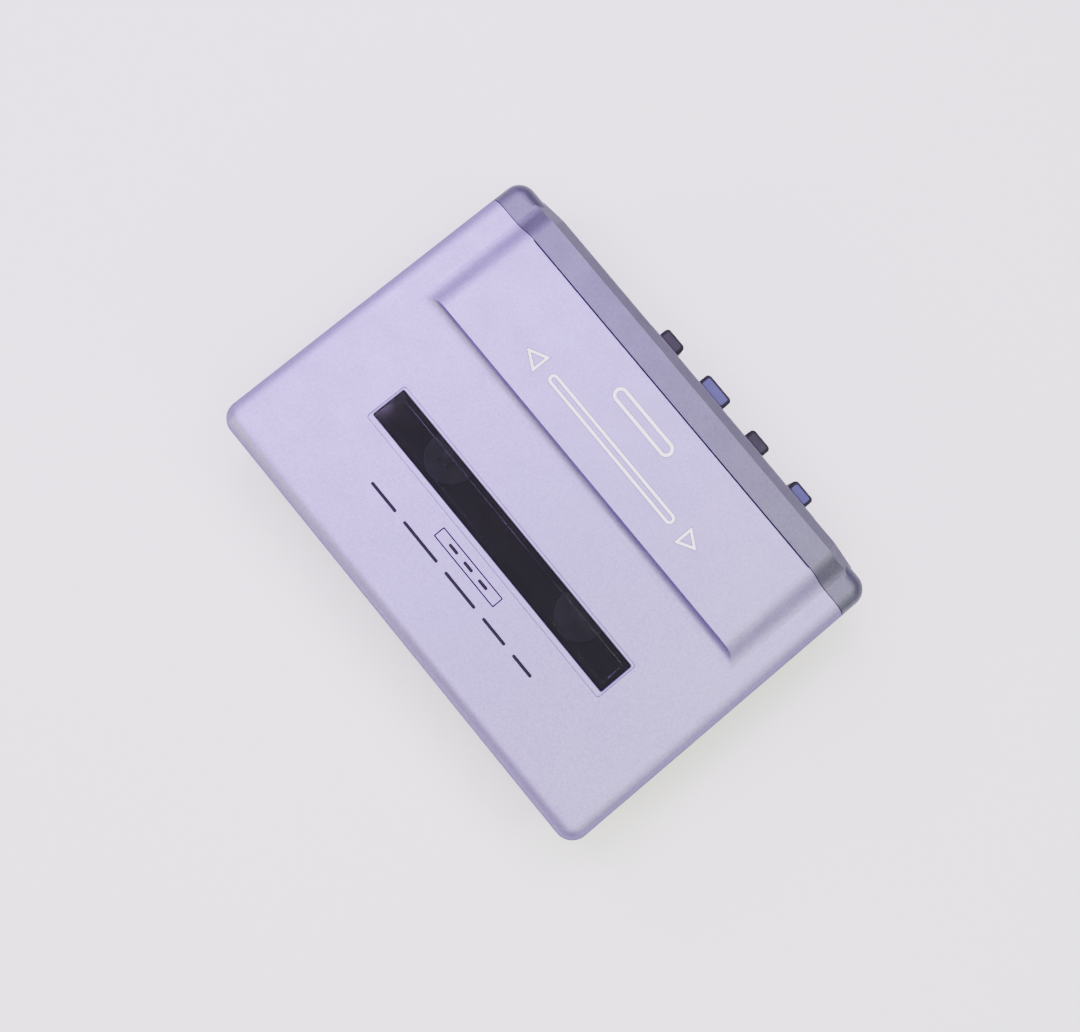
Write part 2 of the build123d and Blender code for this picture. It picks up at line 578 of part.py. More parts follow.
with BuildPart() as deck_cover:
    block((-inner_x + 0.2, inner_x - 0.2), (bay_wall_y[1] + 0.2, 70.5), deck_z, 2.0)
    for x in (bay_x - rest_x, bay_x + rest_x):
        for y in rest_y:
            peg((x, y), 1.5, (deck_z[0], cassette_z[0] - 0.1))
    for at in deck_posts:
        peg(at, 1.0, through_z, mode=Mode.SUBTRACT)
    for at in reel_at:
        peg(at, reel_shaft_r + 0.7, through_z, mode=Mode.SUBTRACT)
        peg(at, reel_table_r + 0.8, (deck_z[1] - 0.3, through_z[1]), mode=Mode.SUBTRACT)
    for at in capstan_at:
        peg(at, bush_r + 0.3, through_z, mode=Mode.SUBTRACT)
    for at in pinch_pivot + guide_pins:
        peg(at, 1.15, through_z, mode=Mode.SUBTRACT)
save(deck_cover, "deck_cover")

with BuildPart() as deck_screws:
    for at in deck_posts:
        peg(at, deck_head_r, (deck_z[1], deck_head_z))
        peg(at, deck_screw_r, (5.5, deck_z[1] + 0.1))
        cross_slot(at, (deck_head_z - 0.4, deck_head_z + 0.2))
save(deck_screws, "deck_screws")

# --------------------------------------------------------------------------------------------- drive
with BuildPart() as motor:
    peg(motor_at, motor_r, (floor, 8.0))
    fillet(motor.edges().group_by(Axis.Z)[-1], 0.8)
    peg(motor_at, pulley_r, (7.9, 8.5))
    peg(motor_at, motor_shaft_r + 0.05, (6.0, 9.0), mode=Mode.SUBTRACT)
save(motor, "motor")

with BuildPart() as motor_pulley:
    peg(motor_at, pulley_r, (8.7, 10.4))
    groove_around(motor_at, pulley_r + 0.4, pulley_groove_r, 0.55)
    peg(motor_at, motor_shaft_r, (6.4, 10.6))
save(motor_pulley, "motor_pulley")

for at, side in zip(capstan_at, ("left", "right")):
    with BuildPart() as flywheel:
        peg(at, flywheel_r, wheel_z)
        groove_around(at, flywheel_r + 1, groove_r, 0.6)
        for z in ((wheel_z[1] - 0.8, 12), (7, wheel_z[0] + 0.5)):
            with BuildSketch(Plane.XY.offset(z[0])) as dish:
                with Locations((at[0], y_of(at[1]))):
                    Circle(groove_r - 2.0)
                    Circle(3.0, mode=Mode.SUBTRACT)
            extrude(dish.sketch, amount=z[1] - z[0], dir=(0, 0, 1), mode=Mode.SUBTRACT)
        peg(at, capstan_r, (5, 15), mode=Mode.SUBTRACT)
    save(flywheel, "flywheel_" + side)
    with BuildPart() as capstan:
        peg(at, capstan_r, (6.65, 25.4))
        fillet(capstan.edges().group_by(Axis.Z)[-1], 0.5)
    save(capstan, "capstan_" + side)

with BuildPart() as capstan_bushes:
    for at in capstan_at:
        peg(at, bush_r, (11.6, 15.2))
        peg(at, capstan_r + 0.05, through_z, mode=Mode.SUBTRACT)
save(capstan_bushes, "capstan_bushes")

with BuildPart() as flywheel_bracket:
    block((bay_x - 26.0, bay_x + 26.0), (capstan_y - 3.0, capstan_y + 3.0), bracket_z, 1.0)
    block((bay_x - 2.6, bay_x + 2.6), (capstan_y - 12.0, capstan_y + 12.0), bracket_z, 1.0)
save(flywheel_bracket, "flywheel_bracket")


def belt_face(grow):
    """Outline of the belt's path, grown or shrunk by grow: motor, right wheel, back of the left wheel."""
    rest = 0.1 + belt_half
    wheels = [
        (motor_at, pulley_groove_r + rest + grow, 1),
        (capstan_at[1], groove_r + rest + grow, 1),
        (capstan_at[0], groove_r + rest - grow, -1),
    ]
    heading = []
    for (a, ra, sa), (b, rb, sb) in zip(wheels, wheels[1:] + wheels[:1]):
        dx, dy = b[0] - a[0], b[1] - a[1]
        heading.append(atan2(dy, dx) + asin((sa * ra - sb * rb) / hypot(dx, dy)))

    def touch(i, angle):
        (x, y), r, turn = wheels[i]
        return (x + turn * r * sin(angle), y_of(y) - turn * r * cos(angle))

    with BuildSketch(Plane.XY.offset(belt_z - 0.5)) as face:
        with BuildLine():
            for i in range(3):
                arrive, leave = heading[i - 1], heading[i]
                turn = wheels[i][2]
                swept = (turn * (leave - arrive)) % (2 * pi)
                middle = arrive + turn * swept / 2
                ThreePointArc(touch(i, arrive), touch(i, middle), touch(i, leave))
                Line(touch(i, leave), touch((i + 1) % 3, leave))
        make_face()
    return face.sketch


with BuildPart() as drive_belt:
    extrude(belt_face(belt_half), amount=1.0, dir=(0, 0, 1))
    extrude(belt_face(-belt_half), amount=1.0, dir=(0, 0, 1), mode=Mode.SUBTRACT)
save(drive_belt, "drive_belt")

# --------------------------------------------------------------------------------------------- reels
for at, side in zip(reel_at, ("left", "right")):
    with BuildPart() as reel_table:
        peg(at, reel_table_r, (15.2, 16.3))
        fillet(reel_table.edges().group_by(Axis.Z)[-1], 0.3)
        peg(at, 2.9, (16.2, 17.0))
        peg(at, hub_r, (16.2, 22.6))
        chamfer(reel_table.edges().group_by(Axis.Z)[-1], 0.9)
        with BuildSketch(Plane.XY.offset(16.9)) as fins:
            with Locations((at[0], y_of(at[1]))):
                with PolarLocations(hub_r, hub_fins):
                    Rectangle(1.5, 0.7)
        extrude(fins.sketch, amount=3.6, dir=(0, 0, 1))
        peg(at, reel_shaft_r, (11.0, 15.3))
    save(reel_table, "reel_table_" + side)
    with BuildPart() as reel_gear:
        toothed(at, reel_gear_r, reel_teeth, gear_z)
        peg(at, reel_shaft_r, (10, 14), mode=Mode.SUBTRACT)
        for k in range(4):
            angle = radians(45 + 90 * k)
            hole = (at[0] + 5.6 * cos(angle), at[1] + 5.6 * sin(angle))
            peg(hole, 1.9, (10, 14), mode=Mode.SUBTRACT)
    save(reel_gear, "reel_gear_" + side)

with BuildPart() as idler_arm:
    bar(idler_pivot, idler_at, 2.0, arm_z)
    peg(idler_pivot, 2.0, (arm_z[0], 12.4))
    peg(idler_pivot, pivot_r + 0.05, (10, 13), mode=Mode.SUBTRACT)
    peg(idler_at, 0.8, (arm_z[0] + 0.1, 12.85))
save(idler_arm, "idler_arm")

with BuildPart() as idler_gear:
    toothed(idler_at, idler_gear_r, idler_teeth, gear_z)
    peg(idler_at, 0.85, (10, 14), mode=Mode.SUBTRACT)
    for k in range(4):
        angle = radians(90 * k)
        hole = (idler_at[0] + 4.8 * cos(angle), idler_at[1] + 4.8 * sin(angle))
        peg(hole, 1.7, (10, 14), mode=Mode.SUBTRACT)
save(idler_gear, "idler_gear")

# -------------------------------------------------------------------------------- head and rollers
with BuildPart() as head_plate:
    block((bay_x - 19.5, bay_x + 19.5), (63.6, 69.6), plate_z, 0.8)
    block(plate_arm_x, (69.0, plate_arm_y[1]), plate_z)
    block(plate_arm_x, plate_arm_y, (plate_z[0], 22.0))
    block((bay_x - 6.5, bay_x + 6.5), (66.2, 68.8), (plate_z[1] - 0.15, head_z[0]))
    for x, y in pinch_pivot:
        block((x - 1.1, x + 1.1), (y - 1.1, 80), (15, 15.5), mode=Mode.SUBTRACT)
    for x, y in guide_pins:
        bar((x, y), (x, y + key_travel + 0.1), guide_r + 0.15, (15, 16), mode=Mode.SUBTRACT)
save(head_plate, "head_plate")

with BuildPart() as tape_head:
    with BuildSketch(Plane.XY.offset(head_z[0])) as face:
        with BuildLine():
            a = Line((bay_x - head_half, y_of(69.0)), (bay_x - head_half, y_of(67.2)))
            b = ThreePointArc(a @ 1, (bay_x, y_of(65.9)), (bay_x + head_half, y_of(67.2)))
            c = Line(b @ 1, (bay_x + head_half, y_of(69.0)))
            Line(c @ 1, a @ 0)
        make_face()
    extrude(face.sketch, amount=head_z[1] - head_z[0], dir=(0, 0, 1))
    chamfer(tape_head.edges().group_by(Axis.Z)[-1], 0.3)
    # Tape guides above and below the tape
    for guide_z in ((head_z[0], 18.2), (23.6, 24.2)):
        block((bay_x - 7.0, bay_x + 7.0), (68.2, 68.9), guide_z)
save(tape_head, "tape_head")

for i, side in enumerate(("left", "right")):
    pivot = pinch_pivot[i]
    roller = (capstan_at[i][0], roller_y)
    with BuildPart() as pinch_arm:
        bar(pivot, roller, 1.5, pinch_z)
        peg(pivot, 1.7, (15.7, 17.5))
        peg(roller, roller_pin_r, (pinch_z[0] + 0.1, 25.2))
        peg(roller, 1.1, (pinch_z[1] - 0.1, 17.35))
        peg(pivot, pivot_r + 0.05, (15, 18), mode=Mode.SUBTRACT)
    save(pinch_arm, "pinch_arm_" + side)
    with BuildPart() as pinch_roller:
        peg(roller, roller_r, (17.5, 24.6))
        fillet(pinch_roller.edges(), 0.3)
        peg(roller, roller_pin_r + 0.05, (17, 26), mode=Mode.SUBTRACT)
    save(pinch_roller, "pinch_roller_" + side)

# ---------------------------------------------------------------------------------------- electronics
with BuildPart() as main_board:
    block((-inner_x + 0.4, inner_x - 0.4), (bay_wall_y[1] + 0.4, 76.0), board_z, 1.0)
    peg(motor_at, motor_r + 1.6, (2, 5), mode=Mode.SUBTRACT)
    for at in deck_posts:
        peg(at, deck_post_r + 0.25, (2, 5), mode=Mode.SUBTRACT)
    for at in case_posts:
        peg(at, case_post_r + 0.3, (2, 5), mode=Mode.SUBTRACT)
save(main_board, "main_board")

with BuildPart() as board_chips:
    for x, y, w, d in chips:
        block((x - w / 2, x + w / 2), (y - d / 2, y + d / 2), (board_z[1], 5.2))
        for k in range(int(w / leg_pitch)):
            px = x - w / 2 + 0.9 + leg_pitch * k
            block((px - 0.2, px + 0.2), (y - d / 2 - 0.8, y + d / 2 + 0.8), (board_z[1], 3.9))
save(board_chips, "board_chips")

with BuildPart() as board_capacitors:
    for at in capacitors:
        peg(at, 2.0, (board_z[1], 7.4))
        peg(at, 2.15, (board_z[1], 4.2))
save(board_capacitors, "board_capacitors")

with BuildPart() as volume_control:
    peg(volume_at, 4.6, (board_z[1], 8.2))
    peg(volume_at, 1.5, (8.0, 8.8))
    peg(volume_at, 0.8, (5.0, 9.0), mode=Mode.SUBTRACT)
save(volume_control, "volume_control")

with BuildPart() as volume_wheel:
    with BuildSketch(Plane.XY.offset(volume_z[0])) as face:
        with Locations((volume_at[0], y_of(volume_at[1]))):
            Circle(volume_r)
            with PolarLocations(volume_r + 0.12, volume_ribs):
                Circle(0.28, mode=Mode.SUBTRACT)
    extrude(face.sketch, amount=volume_z[1] - volume_z[0], dir=(0, 0, 1))
    peg(volume_at, 5.6, (10.5, 12), mode=Mode.SUBTRACT)
    peg(volume_at, 0.75, (5.4, 9.2))
save(volume_wheel, "volume_wheel")

with BuildPart() as headphone_jack:
    block((41.6, 53.2), (jack_y - 3.4, jack_y + 3.4), (board_z[1], 9.6), 0.4)
    rod_x((53.0, 55.0), (jack_y, jack_z), jack_collar_r)
    rod_x((42.0, 56.0), (jack_y, jack_z), jack_bore_r, mode=Mode.SUBTRACT)
save(headphone_jack, "headphone_jack")

with BuildPart() as supply_jack:
    block((45.0, 53.2), (supply_y - 3.2, supply_y + 3.2), (board_z[1], 9.8), 0.4)
    rod_x((53.0, 54.8), (supply_y, supply_z), supply_collar_r)
    rod_x((46.5, 56.0), (supply_y, supply_z), supply_bore_r, mode=Mode.SUBTRACT)
    rod_x((46.0, 54.0), (supply_y, supply_z), 0.5)
save(supply_jack, "supply_jack")

for name, y in zip(("mode", "tape"), switch_y):
    with BuildPart() as switch:
        block((-53.2, -49.0), (y - 4.2, y + 4.2), (board_z[1], 7.6))
        block((-54.0, -50.5), (y - 3.0, y + 3.0), (4.5, 6.7), mode=Mode.SUBTRACT)
    save(switch, name + "_switch")
    with BuildPart() as knob:
        block((-53.6, -50.8), (y - 2.9, y + 0.9), knob_z)
        block((-55.7, -53.0), (y - 2.7, y + 0.1), knob_z)
        for k in range(ridge_count):
            ridge = y - 2.3 + ridge_pitch * k
            block((-56.0, -55.45), (ridge, ridge + ridge_cut), (4, 7), mode=Mode.SUBTRACT)
    save(knob, name + "_knob")

with BuildPart() as noise_switch:
    block((noise_x - 4.2, noise_x + 4.2), (72.4, 76.6), (board_z[1], 7.6))
    block((noise_x - 3.0, noise_x + 3.0), (74.0, 77.5), (4.5, 6.7), mode=Mode.SUBTRACT)
save(noise_switch, "noise_switch")

with BuildPart() as noise_knob:
    block((noise_x - 2.9, noise_x + 0.9), (74.3, 77.2), knob_z)
    block((noise_x - 2.7, noise_x + 0.1), (76.5, 79.2), knob_z)
    for k in range(ridge_count):
        ridge = noise_x - 2.3 + ridge_pitch * k
        block((ridge, ridge + ridge_cut), (78.95, 80), (4, 7), mode=Mode.SUBTRACT)
save(noise_knob, "noise_knob")

with BuildPart() as lamp:
    rod_y((74.5, depth - 0.05), (lamp_x, lamp_z), lamp_r)
    block((lamp_x - 1.6, lamp_x + 1.6), (73.5, 75.5), (board_z[1], 10.6))
save(lamp, "lamp")
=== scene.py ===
import json
import math

import bmesh
import bpy
from mathutils import Matrix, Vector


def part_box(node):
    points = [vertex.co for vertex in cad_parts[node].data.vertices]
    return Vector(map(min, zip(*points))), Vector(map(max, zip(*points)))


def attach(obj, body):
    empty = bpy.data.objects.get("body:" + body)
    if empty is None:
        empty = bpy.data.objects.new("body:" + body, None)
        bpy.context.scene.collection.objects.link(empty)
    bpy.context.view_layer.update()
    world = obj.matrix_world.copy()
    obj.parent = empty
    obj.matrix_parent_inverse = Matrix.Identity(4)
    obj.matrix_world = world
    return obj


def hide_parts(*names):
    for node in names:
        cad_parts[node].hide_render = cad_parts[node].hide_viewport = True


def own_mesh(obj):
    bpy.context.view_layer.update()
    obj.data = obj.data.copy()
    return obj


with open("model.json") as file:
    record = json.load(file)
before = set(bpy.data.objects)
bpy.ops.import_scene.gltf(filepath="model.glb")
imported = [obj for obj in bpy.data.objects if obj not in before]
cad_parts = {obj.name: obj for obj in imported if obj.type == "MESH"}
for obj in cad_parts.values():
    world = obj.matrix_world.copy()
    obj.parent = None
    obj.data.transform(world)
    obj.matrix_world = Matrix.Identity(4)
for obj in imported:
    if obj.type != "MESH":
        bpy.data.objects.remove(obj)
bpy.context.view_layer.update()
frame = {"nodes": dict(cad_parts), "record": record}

MM = 0.001
DEPTH = 78.5  # case depth; every y below is counted from the hinge side edge
NODES = frame["nodes"]


def metre(x, y, z):
    return (x * MM, (y - DEPTH / 2) * MM, z * MM)


# ------------------------------------------------------------------------------------- materials
class Nodes:
    """A material under construction, with short ways to add and join nodes."""

    def __init__(self, name):
        self.material = bpy.data.materials.new(name)
        self.material.use_nodes = True
        self.tree = self.material.node_tree
        self.shader = self.tree.nodes["Principled BSDF"]
        self.where = self.add("ShaderNodeTexCoord").outputs["Object"]

    def add(self, kind, **settings):
        node = self.tree.nodes.new(kind)
        for key, value in settings.items():
            setattr(node, key, value)
        return node

    def join(self, out, to):
        self.tree.links.new(out, to)

    def stretched(self, scale):
        mapping = self.add("ShaderNodeMapping")
        mapping.inputs["Scale"].default_value = scale
        self.join(self.where, mapping.inputs["Vector"])
        return mapping.outputs["Vector"]

    def noise(self, scale, detail=4.0, rough=0.5, vector=None):
        node = self.add("ShaderNodeTexNoise")
        node.inputs["Scale"].default_value = scale
        node.inputs["Detail"].default_value = detail
        node.inputs["Roughness"].default_value = rough
        self.join(vector or self.where, node.inputs["Vector"])
        return node.outputs["Fac"]

    def cells(self, scale):
        node = self.add("ShaderNodeTexVoronoi")
        node.inputs["Scale"].default_value = scale
        self.join(self.where, node.inputs["Vector"])
        return node

    def ramp(self, fac, stops):
        node = self.add("ShaderNodeValToRGB")
        while len(node.color_ramp.elements) < len(stops):
            node.color_ramp.elements.new(0.5)
        for element, (at, colour) in zip(node.color_ramp.elements, stops):
            element.position = at
            element.color = (*colour, 1.0)
        self.join(fac, node.inputs["Fac"])
        return node.outputs["Color"]

    def spread(self, fac, low, high, start=0.25, end=0.75):
        node = self.add("ShaderNodeMapRange")
        node.inputs["From Min"].default_value = start
        node.inputs["From Max"].default_value = end
        node.inputs["To Min"].default_value = low
        node.inputs["To Max"].default_value = high
        self.join(fac, node.inputs["Value"])
        return node.outputs["Result"]

    def tint(self, fac, stops):
        self.join(self.ramp(fac, stops), self.shader.inputs["Base Color"])

    def gloss(self, fac, low, high):
        self.join(self.spread(fac, low, high), self.shader.inputs["Roughness"])

    def relief(self, normal):
        self.join(normal, self.shader.inputs["Normal"])

    def set(self, **values):
        for socket, value in values.items():
            self.shader.inputs[socket.replace("_", " ")].default_value = value

    def bump(self, height, strength, distance, normal=None):
        node = self.add("ShaderNodeBump")
        node.inputs["Strength"].default_value = strength
        node.inputs["Distance"].default_value = distance
        self.join(height, node.inputs["Height"])
        if normal:
            self.join(normal, node.inputs["Normal"])
        return node.outputs["Normal"]


def shade(colour, factor):
    return tuple(min(1.0, c * factor) for c in colour)


def paint(name, colour, metallic, rough, edge):
    """Sprayed silver paint with fine flakes. edge is how bright it stays at a low angle."""
    n = Nodes(name)
    flakes = n.cells(3000.0)
    fine = n.noise(2600.0, 6.0, 0.6)
    mix = n.add("ShaderNodeMix", data_type="RGBA", blend_type="MULTIPLY")
    clouds = [(0.30, shade(colour, 0.90)), (0.5, colour), (0.72, shade(colour, 1.08))]
    glints = [(0.0, (0.80, 0.80, 0.82)), (0.5, (1, 1, 1)), (1.0, (1.15, 1.15, 1.15))]
    n.join(n.ramp(fine, clouds), mix.inputs["A"])
    n.join(n.ramp(flakes.outputs["Color"], glints), mix.inputs["B"])
    mix.inputs["Factor"].default_value = 0.6
    n.join(mix.outputs["Result"], n.shader.inputs["Base Color"])
    n.set(Metallic=metallic, Specular_Tint=(edge, edge, edge, 1.0))
    n.gloss(n.noise(160.0, 3.0), rough - 0.03, rough + 0.05)
    peel = n.bump(n.noise(900.0, 2.0), 0.10, 0.04 * MM)
    n.relief(n.bump(flakes.outputs["Distance"], 0.16, 0.03 * MM, peel))
    return n.material


def plastic(name, colour, rough=0.45, grain=1500.0, depth=0.04 * MM, coat=0.0, shine=0.5):
    """Moulded plastic with a spark eroded grain."""
    n = Nodes(name)
    tone = n.noise(90.0, 3.0)
    n.tint(tone, [(0.3, shade(colour, 0.88)), (0.7, shade(colour, 1.10))])
    n.gloss(n.noise(300.0), rough - 0.06, rough + 0.07)
    n.set(Coat_Weight=coat, Specular_IOR_Level=shine)
    n.relief(n.bump(n.noise(grain, 5.0, 0.6), 0.35, depth))
    return n.material


def metal(name, colour, rough=0.3, stretch=(1, 1, 1), grain=400.0, depth=0.02 * MM):
    """Bare metal, its grain drawn out where stretch isn't even."""
    n = Nodes(name)
    lines = n.noise(grain, 6.0, 0.6, n.stretched(stretch))
    n.tint(lines, [(0.3, shade(colour, 0.85)), (0.7, shade(colour, 1.08))])
    n.set(Metallic=1.0)
    n.gloss(lines, rough - 0.06, rough + 0.10)
    n.relief(n.bump(lines, 0.25, depth))
    return n.material


def smoked(name):
    """Smoked clear plastic with a trace of dust."""
    n = Nodes(name)
    dirt = n.noise(220.0, 4.0)
    n.tint(dirt, [(0.3, (0.125, 0.125, 0.15)), (0.75, (0.145, 0.145, 0.17))])
    n.gloss(dirt, 0.03, 0.07)
    n.set(Transmission_Weight=0.96, IOR=1.49, Specular_IOR_Level=0.2)
    n.relief(n.bump(n.noise(500.0, 2.0), 0.05, 0.01 * MM))
    return n.material


def ink(name, colour, rough, shine=0.3):
    """Matt screen printing ink."""
    n = Nodes(name)
    n.set(Specular_IOR_Level=shine)
    n.tint(n.noise(3000.0, 3.0), [(0.3, shade(colour, 0.94)), (0.7, colour)])
    n.gloss(n.noise(1200.0), rough - 0.05, rough + 0.05)
    n.relief(n.bump(n.noise(2400.0, 2.0), 0.15, 0.01 * MM))
    return n.material


def board(name):
    """Green circuit board with paler tracks."""
    n = Nodes(name)
    tracks = n.add("ShaderNodeTexBrick")
    tracks.inputs["Scale"].default_value = 260.0
    tracks.inputs["Mortar Size"].default_value = 0.08
    tracks.inputs["Color1"].default_value = (0.02, 0.16, 0.08, 1)
    tracks.inputs["Color2"].default_value = (0.03, 0.22, 0.11, 1)
    tracks.inputs["Mortar"].default_value = (0.06, 0.34, 0.18, 1)
    n.join(n.where, tracks.inputs["Vector"])
    n.join(tracks.outputs["Color"], n.shader.inputs["Base Color"])
    n.gloss(n.noise(400.0), 0.25, 0.42)
    n.relief(n.bump(tracks.outputs["Fac"], 0.3, 0.05 * MM))
    return n.material


LOOKS = {
    "lid_paint": paint("lid_paint", (0.262, 0.226, 0.43), 0.88, 0.48, 0.0),
    "strip_paint": paint("strip_paint", (0.086, 0.087, 0.124), 0.88, 0.48, 0.9),
    "case_grey": paint("case_grey", (0.13, 0.127, 0.18), 0.85, 0.46, 0.3),
    "window_smoke": smoked("window_smoke"),
    "key_dark": plastic("key_dark", (0.006, 0.006, 0.008), 0.55, shine=0.12),
    "key_blue": plastic("key_blue", (0.006, 0.006, 0.009), 0.55, shine=0.12),
    "black_plastic": plastic("black_plastic", (0.022, 0.022, 0.026), 0.50),
    "frame_plastic": plastic("frame_plastic", (0.035, 0.035, 0.04), 0.46),
    "steel": metal("steel", (0.60, 0.60, 0.62), 0.30, (1, 14, 1)),
    "spring_steel": metal("spring_steel", (0.66, 0.66, 0.68), 0.20, (1, 1, 8)),
    "brass": metal("brass", (0.80, 0.60, 0.28), 0.26),
    "rubber": plastic("rubber", (0.02, 0.02, 0.02), 0.75, 2200.0, 0.06 * MM),
    "reel_plastic": plastic("reel_plastic", (0.62, 0.62, 0.60), 0.32, coat=0.2),
    "gear_plastic": plastic("gear_plastic", (0.66, 0.64, 0.56), 0.38),
    "board_green": board("board_green"),
    "chip_black": plastic("chip_black", (0.02, 0.02, 0.022), 0.55, 2600.0),
    "can_aluminium": metal("can_aluminium", (0.70, 0.71, 0.73), 0.28, (1, 1, 10)),
    "lamp_red": plastic("lamp_red", (0.45, 0.02, 0.02), 0.15, coat=0.6),
}
SLOTS = {s["node"]: s["material_slot"] for s in frame["record"]["subparts"]}
for name, thing in NODES.items():
    thing.data.materials.clear()
    thing.data.materials.append(LOOKS[SLOTS[name]])

# ---------------------------------------------------------------------------------- printed marks
white_ink = ink("white_ink", (0.97, 0.97, 0.97), 0.6)
# A dark rim drawn round the white marks on the panel
dark_rim = ink("dark_rim", (0.05, 0.045, 0.09), 0.6, 0.08)
black_ink = ink("black_ink", (0.010, 0.010, 0.014), 0.6, 0.08)
LOW, HIGH = 27.8, 30.0  # top of the lid and of its raised panel
SINK = 0.02  # how far a printed shape reaches into what it lies on


def marks(name, shapes, z, look, body="lid", height=0.035):
    """Thin shapes lying on a body. Each shape is an outline of (x, y) points and its hole, or None."""
    vertices, faces = [], []

    def ring(loop, level):
        start = len(vertices)
        vertices.extend(metre(x, y, level) for x, y in loop)
        return start

    for outer, inner in shapes:
        count = len(outer)
        top, low = ring(outer, z + height), ring(outer, z - SINK)
        for i in range(count):
            j = (i + 1) % count
            faces.append((low + i, low + j, top + j, top + i))
        if inner is None:
            faces.append(tuple(top + i for i in range(count)))
            faces.append(tuple(low + i for i in reversed(range(count))))
            continue
        top_in, low_in = ring(inner, z + height), ring(inner, z - SINK)
        for i in range(count):
            j = (i + 1) % count
            faces.append((top + i, top + j, top_in + j, top_in + i))
            faces.append((low + j, low + i, low_in + i, low_in + j))
            faces.append((low_in + j, low_in + i, top_in + i, top_in + j))
    mesh = bpy.data.meshes.new(name)
    mesh.from_pydata(vertices, [], faces)
    mesh.validate()
    thing = bpy.data.objects.new(name, mesh)
    bpy.context.scene.collection.objects.link(thing)
    mesh.materials.append(look)
    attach(thing, body)
    return thing


def pill(x0, x1, y0, y1, radius, steps=8):
    """Outline of a rectangle with rounded corners."""
    loop = []
    left, right, low, high = x0 + radius, x1 - radius, y0 + radius, y1 - radius
    for cx, cy, turn in ((right, high, 0), (left, high, 90), (left, low, 180), (right, low, 270)):
        for i in range(steps + 1):
            a = math.radians(turn + 90 * i / steps)
            loop.append((cx + radius * math.cos(a), cy + radius * math.sin(a)))
    return loop


def ring_pill(x0, x1, y0, y1, radius, line):
    hole = pill(x0 + line, x1 - line, y0 + line, y1 - line, max(radius - line, 0.02))
    return (pill(x0, x1, y0, y1, radius), hole)


def arrow(tip, base, y, half, line, grow):
    """Outlined triangle, its corners slightly rounded, pointing from base to tip."""

    def loop(shrink):
        way = 1 if tip > base else -1
        slope = math.hypot(half, tip - base)
        corners = [
            (tip - way * shrink * slope / half, y),
            (base + way * shrink, y + half - shrink * (slope + half) / abs(tip - base)),
            (base + way * shrink, y - half + shrink * (slope + half) / abs(tip - base)),
        ]
        points = []
        for i in range(3):
            (ax, ay), (bx, by), (cx, cy) = corners[i - 1], corners[i], corners[(i + 1) % 3]
            for k in (0.10, 0.03):
                points.append((bx + (ax - bx) * k, by + (ay - by) * k))
            for k in (0.03, 0.10):
                points.append((bx + (cx - bx) * k, by + (cy - by) * k))
        return points

    return (loop(-grow), loop(line + grow))


def top_marks(grow):
    """The white marks on the raised panel, each drawn wider all round by grow."""
    return [
        arrow(-25.8, -21.4, 55.7, 2.3, 0.52, grow),
        arrow(26.0, 22.0, 55.7, 2.3, 0.52, grow),
        ring_pill(-18.6 - grow, 19.0 + grow, 54.6 - grow, 56.8 + grow, 1.1 + grow, 0.58 + 2 * grow),
        ring_pill(-8.4 - grow, 8.6 + grow, 62.4 - grow, 65.6 + grow, 1.6 + grow, 0.68 + 2 * grow),
    ]


marks("print_on_panel", top_marks(0.0), HIGH, white_ink)
# Dark rim, each white mark drawn 0.12 wider all round beneath it
marks("dark_rim_on_panel", top_marks(0.12), HIGH, dark_rim, height=0.02)

x = -24.7
dashes = []
for i, length in enumerate((7.6, 10.4, 9.2, 6.8, 5.6)):
    dashes.append((pill(x, x + length, 15.0, 15.7, 0.3, 3), None))
    x += length + 2.4
dashes.append(ring_pill(-8.9, 9.4, 18.1, 20.8, 0.25, 0.3))
dashes += [(pill(a, a + 2.6, 19.1, 19.8, 0.3, 3), None) for a in (-5.6, -1.1, 3.4)]
marks("print_on_lid", dashes, LOW, black_ink)

# ------------------------------------------------------------------- inlays on top of the four keys
KEY_MIDDLE, KEY_PITCH, KEY_TOP = 11.0, 13.4, 25.3
inlay_dark = plastic("inlay_dark", (0.012, 0.012, 0.017), 0.55, shine=0.2)
inlay_blue = plastic("inlay_blue", (0.030, 0.031, 0.11), 0.50, shine=0.25)
for i, (body, half, far, look, slot) in enumerate((
    ("rewind", 2.75, 81.6, inlay_dark, "key_dark"),
    ("play", 3.7, 81.9, inlay_blue, "key_blue"),
    ("fast_forward", 2.75, 81.6, inlay_dark, "key_dark"),
    ("stop", 2.75, 81.6, inlay_blue, "key_blue"),
)):
    middle = KEY_MIDDLE + KEY_PITCH * (i - 1.5)
    shape = (pill(middle - half + 0.75, middle + half - 0.75, 79.35, far - 0.6, 0.35), None)
    marks(body + "_inlay", [shape], KEY_TOP, look, body, 0.09)
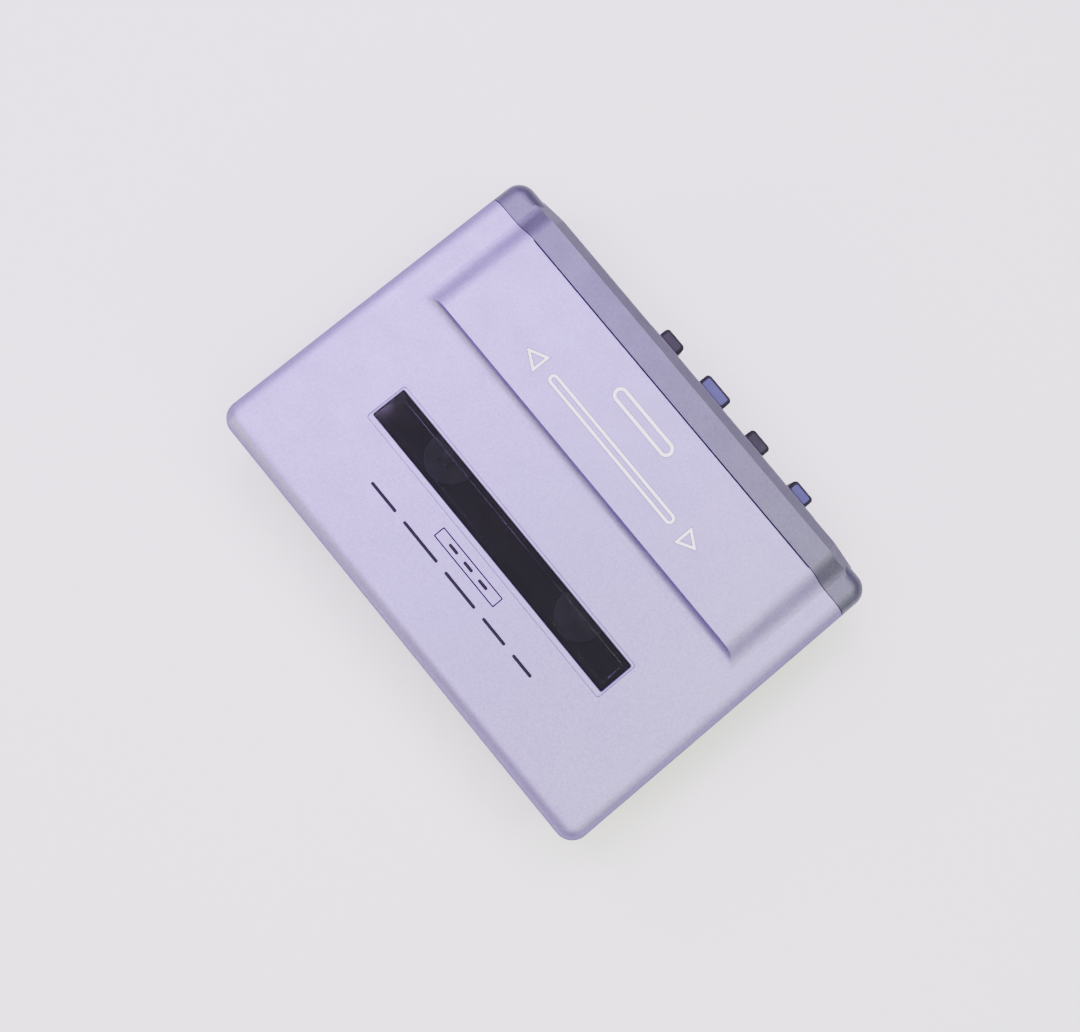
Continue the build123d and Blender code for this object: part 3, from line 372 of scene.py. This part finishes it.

# ------------------------------------------------ key springs, wire coils in place of the part file's springs
def key_coil(name, low, high, wire, turns, around=8, steps=24):
    """Round wire spring along y that fills the box from low to high."""
    centre_x, centre_z = (low[0] + high[0]) / 2, (low[2] + high[2]) / 2
    radius, start, length = (high[0] - low[0]) / 2 - wire, low[1] + wire, high[1] - low[1] - 2 * wire
    rings = turns * steps
    mesh = bmesh.new()
    rows = []
    for i in range(rings + 1):
        a = 2 * math.pi * i / steps
        row = []
        for k in range(around):
            b = 2 * math.pi * k / around
            r = radius + wire * math.cos(b)
            y = start + length * i / rings + wire * math.sin(b)
            row.append(mesh.verts.new((centre_x + r * math.cos(a), y, centre_z + r * math.sin(a))))
        rows.append(row)
    for one, two in zip(rows, rows[1:]):
        for k in range(around):
            j = (k + 1) % around
            mesh.faces.new((one[k], one[j], two[j], two[k]))
    mesh.faces.new(rows[0])
    mesh.faces.new(rows[-1])
    bmesh.ops.recalc_face_normals(mesh, faces=mesh.faces)
    data = bpy.data.meshes.new(name)
    mesh.to_mesh(data)
    mesh.free()
    for face in data.polygons:
        face.use_smooth = True
    data.materials.append(LOOKS["spring_steel"])
    thing = bpy.data.objects.new(name, data)
    bpy.context.scene.collection.objects.link(thing)
    return thing


KEY_TRAVEL, SPRING_WIRE, SPRING_TURNS = 2.4 * MM, 0.16 * MM, 4
for key in ("rewind", "play", "fast_forward", "stop"):
    low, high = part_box(key + "_spring")
    piece = key_coil(key + "_coil", low, high, SPRING_WIRE, SPRING_TURNS)
    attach(piece, "case")
    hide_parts(key + "_spring")
    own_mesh(piece)

# ------------------------------------------------------------------------------------------ stage
bpy.ops.mesh.primitive_plane_add(size=6.0, location=(0, 0, -0.0002))
floor = bpy.context.object
floor.name = "floor"
pale = Nodes("pale_floor")
pale.tint(pale.noise(3.0), [(0.3, (0.88, 0.95, 0.83)), (0.7, (0.91, 0.98, 0.86))])
pale.gloss(pale.noise(6.0), 0.82, 0.9)
floor.data.materials.append(pale.material)

world = bpy.data.worlds.new("studio")
bpy.context.scene.world = world
world.use_nodes = True
world.node_tree.nodes["Background"].inputs["Color"].default_value = (1.0, 1.0, 1.0, 1)
world.node_tree.nodes["Background"].inputs["Strength"].default_value = 0.24


def lamp(name, at, size, power, colour):
    data = bpy.data.lights.new(name, "AREA")
    data.shape = "DISK"
    data.size = size
    data.energy = power
    data.color = colour
    thing = bpy.data.objects.new(name, data)
    bpy.context.scene.collection.objects.link(thing)
    thing.location = at
    thing.rotation_euler = (-thing.location).to_track_quat("-Z", "Y").to_euler()
    return thing


# Soft boxes in a high ring, strongest and lilac towards the left end; the middle of the ring stays dark
LILAC, NEUTRAL, WARM = (0.74, 0.49, 1.0), (1.0, 1.0, 0.82), (1.0, 1.0, 0.52)
RING_R, RING_Z, RING_SIZE, FAR_SIZE = 0.41, 0.80, 0.37, 0.50
for name, turn, power, colour in (
    ("box_left", 180, 9.0, LILAC),
    ("box_left_keys", 120, 7.4, LILAC),
    ("box_right_keys", 60, 4.2, NEUTRAL),
    ("box_right", 0, 3.0, NEUTRAL),
    ("box_right_hinge", 300, 3.3, NEUTRAL),
    ("box_left_hinge", 240, 5.8, LILAC),
):
    a = math.radians(turn)
    lamp(name, (RING_R * math.cos(a), RING_R * math.sin(a), RING_Z), RING_SIZE, power, colour)
# Three lower soft boxes, for the ramps and the step of the raised panel and the rounded edges
lamp("box_far_left", (-0.78, 0.05, 0.52), FAR_SIZE, 4.6, LILAC)
lamp("box_far_right", (0.78, 0.05, 0.55), FAR_SIZE, 2.6, NEUTRAL)
lamp("box_far_hinge", (-0.36, -0.75, 0.36), FAR_SIZE, 3.6, WARM)

# ----------------------------------------------------------------------------------------- camera
data = bpy.data.cameras.new("camera")
data.sensor_fit = "HORIZONTAL"
data.sensor_width = 36.0
data.lens = 32.17
data.clip_start = 0.01
camera = bpy.data.objects.new("camera", data)
bpy.context.scene.collection.objects.link(camera)
right = (0.6359, 0.7712, 0.0303)
up = (-0.7704, 0.6318, 0.0856)
back = (0.0469, -0.0778, 0.9959)
at = metre(10.3, 21.9, 24.3 + 192.4)
camera.matrix_world = Matrix([[right[i], up[i], back[i], at[i]] for i in range(3)] + [[0, 0, 0, 1]])
bpy.context.scene.camera = camera
